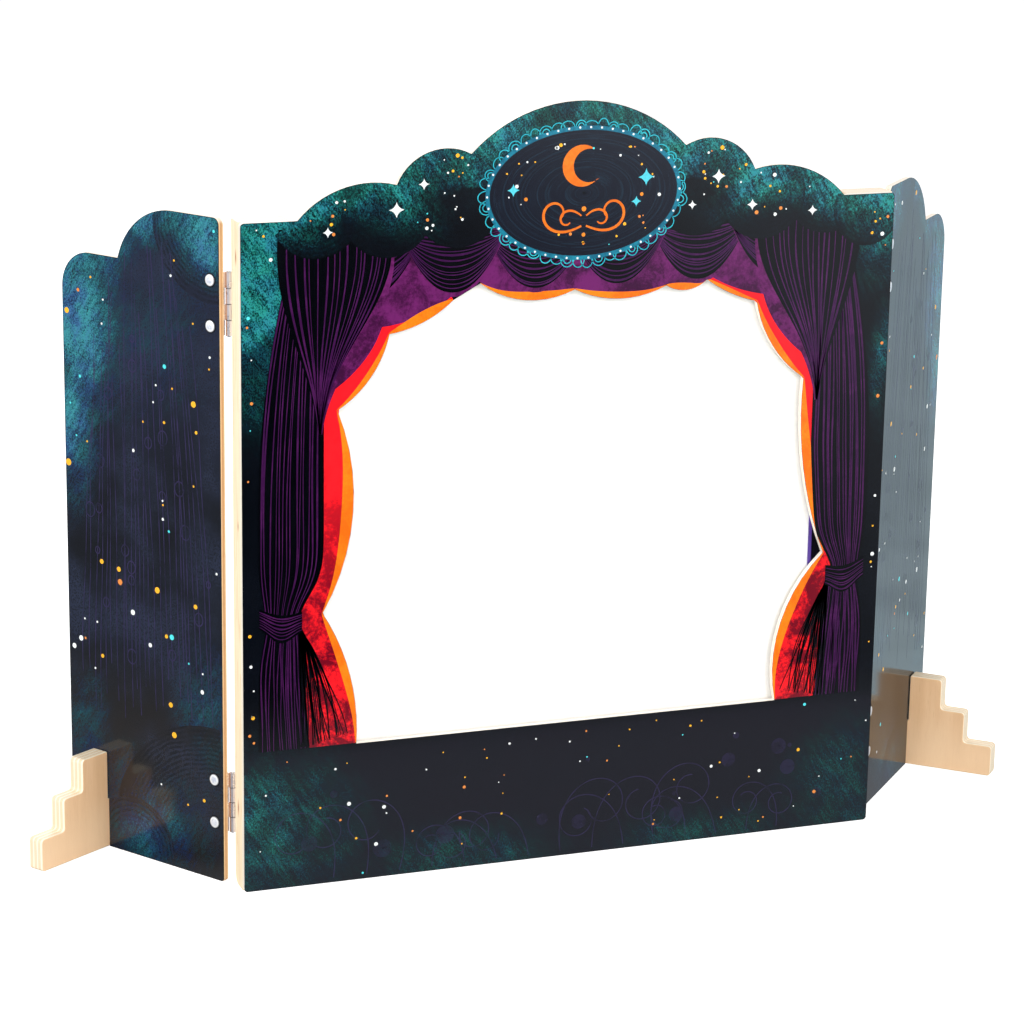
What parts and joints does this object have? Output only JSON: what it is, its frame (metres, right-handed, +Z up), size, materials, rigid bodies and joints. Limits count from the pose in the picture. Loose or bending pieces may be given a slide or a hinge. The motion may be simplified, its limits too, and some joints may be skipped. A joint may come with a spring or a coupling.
{
  "type": "shadow theatre",
  "caption": "Table-top shadow theatre: a scalloped plywood front with a curtain-shaped opening and a cloth screen, between two hinged wings that stand on stepped cross feet.",
  "frame": {"origin": "middle of the front panel's bottom edge, at the middle of its thickness, on the floor", "axes": "+X to the right as seen from the front, along the panel; +Y towards the back, square to the panel; +Z up"},
  "size_m": [0.8619, 0.1906, 0.6239],
  "materials": {
    "printed_ply": "plywood printed in dark teal, navy, purple and red under gloss varnish, pale edges",
    "pine": "planed pine",
    "birch_ply": "clear-varnished plywood with rounded arrises",
    "screen_cloth": "plain-woven white cloth",
    "fastening_tape": "black hook and loop tape",
    "violet_binding": "woven violet binding",
    "nickel_plate": "nickel-plated steel strip",
    "bright_steel": "bright nickel-plated steel"
  },
  "bodies": {
    "stage": {"front_panel": "printed_ply", "left_stile": "pine", "right_stile": "pine", "screen_cloth": "screen_cloth", "left_loop_tape": "fastening_tape", "right_loop_tape": "fastening_tape", "top_loop_tape": "fastening_tape", "bottom_loop_tape": "fastening_tape", "left_hook_tape": "fastening_tape", "right_hook_tape": "fastening_tape", "top_hook_tape": "fastening_tape", "bottom_hook_tape": "fastening_tape", "left_binding": "violet_binding", "right_binding": "violet_binding", "left_top_fixed_leaf": "nickel_plate", "left_top_pin": "bright_steel", "left_top_screws": "bright_steel", "left_bottom_fixed_leaf": "nickel_plate", "left_bottom_pin": "bright_steel", "left_bottom_screws": "bright_steel", "right_top_fixed_leaf": "nickel_plate", "right_top_pin": "bright_steel", "right_top_screws": "bright_steel", "right_bottom_fixed_leaf": "nickel_plate", "right_bottom_pin": "bright_steel", "right_bottom_screws": "bright_steel"},
    "left_wing": {"left_wing": "printed_ply", "left_top_wing_leaf": "nickel_plate", "left_top_bolts": "bright_steel", "left_top_nuts": "bright_steel", "left_bottom_wing_leaf": "nickel_plate", "left_bottom_bolts": "bright_steel", "left_bottom_nuts": "bright_steel"},
    "right_wing": {"right_wing": "printed_ply", "right_top_wing_leaf": "nickel_plate", "right_top_bolts": "bright_steel", "right_top_nuts": "bright_steel", "right_bottom_wing_leaf": "nickel_plate", "right_bottom_bolts": "bright_steel", "right_bottom_nuts": "bright_steel"},
    "left_foot": {"left_foot": "birch_ply"},
    "right_foot": {"right_foot": "birch_ply"}
  },
  "joints": [
    {"name": "left_wing_fold", "type": "hinge", "parent": "stage", "child": "left_wing", "pos_m": [-0.2755, 0.026, 0], "axis": [0, 0, -1], "range_deg": [-82, 93]},
    {"name": "right_wing_fold", "type": "hinge", "parent": "stage", "child": "right_wing", "pos_m": [0.2755, 0.026, 0], "axis": [0, 0, 1], "range_deg": [-71.5, 103.5]},
    {"name": "left_foot_slide", "type": "slide", "parent": "left_wing", "child": "left_foot", "axis": [0, 0, -1], "range_m": [0, 0.041]},
    {"name": "right_foot_slide", "type": "slide", "parent": "right_wing", "child": "right_foot", "axis": [0, 0, -1], "range_m": [0, 0.041]}
  ]
}
